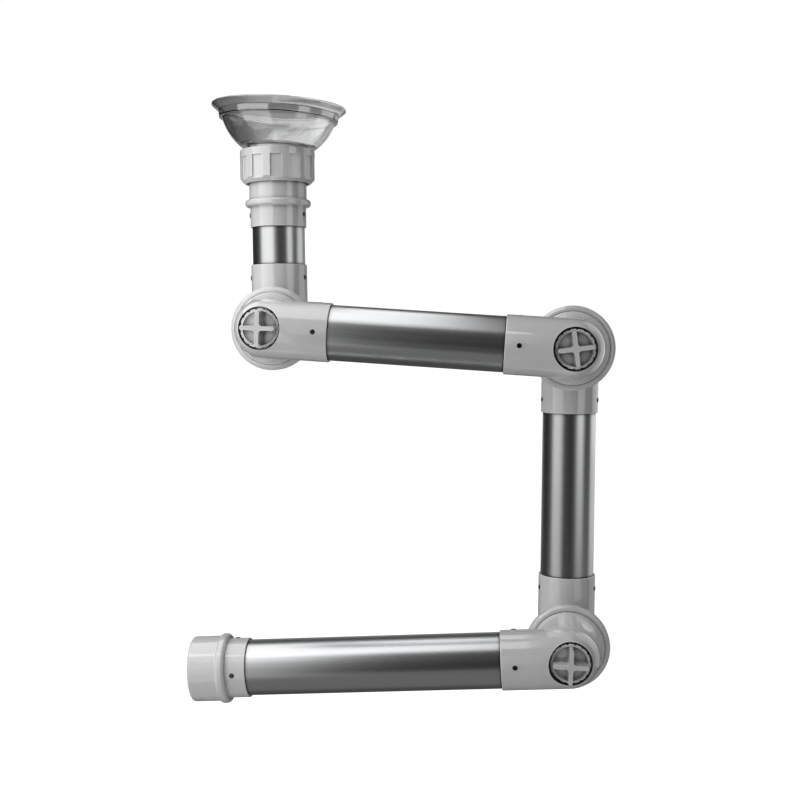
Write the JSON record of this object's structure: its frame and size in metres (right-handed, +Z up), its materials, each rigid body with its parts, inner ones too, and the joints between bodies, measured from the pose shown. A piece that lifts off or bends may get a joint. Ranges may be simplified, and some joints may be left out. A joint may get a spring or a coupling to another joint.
{
  "type": "fume extraction arm",
  "caption": "Jointed duct arm of aluminium tubes and friction elbows, with a clear bowl hood that draws fumes from a bench and a spigot for the extraction duct.",
  "frame": {"origin": "on the lower tube's axis, at the stop ring that the duct is pushed up to", "axes": "+X along the lower arm to the shoulder, +Z up, the knobs face -Y"},
  "size_m": [0.598, 0.257, 0.8469],
  "materials": {
    "plastic": "satin",
    "tube": "satin",
    "steel": "satin",
    "rubber": "matte",
    "brass": "satin",
    "bush": "satin",
    "clear_bowl": "gloss"
  },
  "bodies": {
    "lower_arm": {"duct_adapter": "plastic", "lower_tube": "tube", "shoulder_front_half": "plastic", "lower_arm_screws": "steel", "shoulder_hub_bush": "bush", "shoulder_disc_spring": "steel"},
    "middle_arm": {"middle_tube": "tube", "shoulder_back_half": "plastic", "elbow_back_half": "plastic", "middle_arm_screws": "steel", "shoulder_friction_ring": "rubber", "elbow_friction_ring": "rubber", "shoulder_tie_rod": "steel", "elbow_tie_rod": "steel"},
    "upper_arm": {"upper_tube": "tube", "elbow_front_half": "plastic", "wrist_front_half": "plastic", "upper_arm_screws": "steel", "elbow_hub_bush": "bush", "wrist_hub_bush": "bush", "elbow_disc_spring": "steel", "wrist_disc_spring": "steel"},
    "hood_arm": {"hood_tube": "tube", "wrist_back_half": "plastic", "hood_adapter": "plastic", "hood_gasket": "rubber", "hood_arm_screws": "steel", "wrist_friction_ring": "rubber", "wrist_tie_rod": "steel"},
    "shoulder_washer": {"shoulder_thrust_washer": "steel"},
    "shoulder_clamp": {"shoulder_knob": "plastic", "shoulder_knob_insert": "brass"},
    "elbow_washer": {"elbow_thrust_washer": "steel"},
    "elbow_clamp": {"elbow_knob": "plastic", "elbow_knob_insert": "brass"},
    "wrist_washer": {"wrist_thrust_washer": "steel"},
    "wrist_clamp": {"wrist_knob": "plastic", "wrist_knob_insert": "brass"},
    "hood": {"hood_bowl": "clear_bowl"},
    "hood_nut": {"ring_nut": "plastic"}
  },
  "joints": [
    {"name": "shoulder_swing", "type": "hinge", "parent": "lower_arm", "child": "middle_arm", "pos_m": [0.475, 0, 0], "axis": [0, -1, 0], "range_deg": [-120, 40]},
    {"name": "elbow_swing", "type": "hinge", "parent": "middle_arm", "child": "upper_arm", "pos_m": [0.50099, 0, 0.41318], "axis": [0, 1, 0], "range_deg": [-50, 150]},
    {"name": "wrist_swing", "type": "hinge", "parent": "upper_arm", "child": "hood_arm", "pos_m": [0.08701, 0, 0.46328], "axis": [0, -1, 0], "range_deg": [-60, 200]},
    {"name": "shoulder_clamp_travel", "type": "slide", "parent": "middle_arm", "child": "shoulder_washer", "axis": [0, -1, 0], "range_m": [0, 0.0025]},
    {"name": "shoulder_clamp_turn", "type": "hinge", "parent": "shoulder_washer", "child": "shoulder_clamp", "pos_m": [0.475, 0, 0], "axis": [0, -1, 0], "range_deg": [0, 700]},
    {"name": "elbow_clamp_travel", "type": "slide", "parent": "middle_arm", "child": "elbow_washer", "axis": [0, -1, 0], "range_m": [0, 0.0025]},
    {"name": "elbow_clamp_turn", "type": "hinge", "parent": "elbow_washer", "child": "elbow_clamp", "pos_m": [0.50099, 0, 0.41318], "axis": [0, -1, 0], "range_deg": [0, 700]},
    {"name": "wrist_clamp_travel", "type": "slide", "parent": "hood_arm", "child": "wrist_washer", "axis": [0, -1, 0], "range_m": [0, 0.0025]},
    {"name": "wrist_clamp_turn", "type": "hinge", "parent": "wrist_washer", "child": "wrist_clamp", "pos_m": [0.08701, 0, 0.46328], "axis": [0, -1, 0], "range_deg": [0, 700]},
    {"name": "hood_lift", "type": "slide", "parent": "hood_arm", "child": "hood", "axis": [0.0436, 0, 0.999], "range_m": [0, 0.006]},
    {"name": "ring_nut_turn", "type": "hinge", "parent": "hood", "child": "hood_nut", "pos_m": [0.09748, 0.114, 0.70305], "axis": [0.0436, 0, 0.999], "range_deg": [0, 700]}
  ],
  "couplings": [
    {"joint": "shoulder_clamp_travel", "follows": "shoulder_clamp_turn", "m_per_rad": 0.00019894},
    {"joint": "elbow_clamp_travel", "follows": "elbow_clamp_turn", "m_per_rad": 0.00019894},
    {"joint": "wrist_clamp_travel", "follows": "wrist_clamp_turn", "m_per_rad": 0.00019894},
    {"joint": "hood_lift", "follows": "ring_nut_turn", "m_per_rad": 0.00047746}
  ]
}
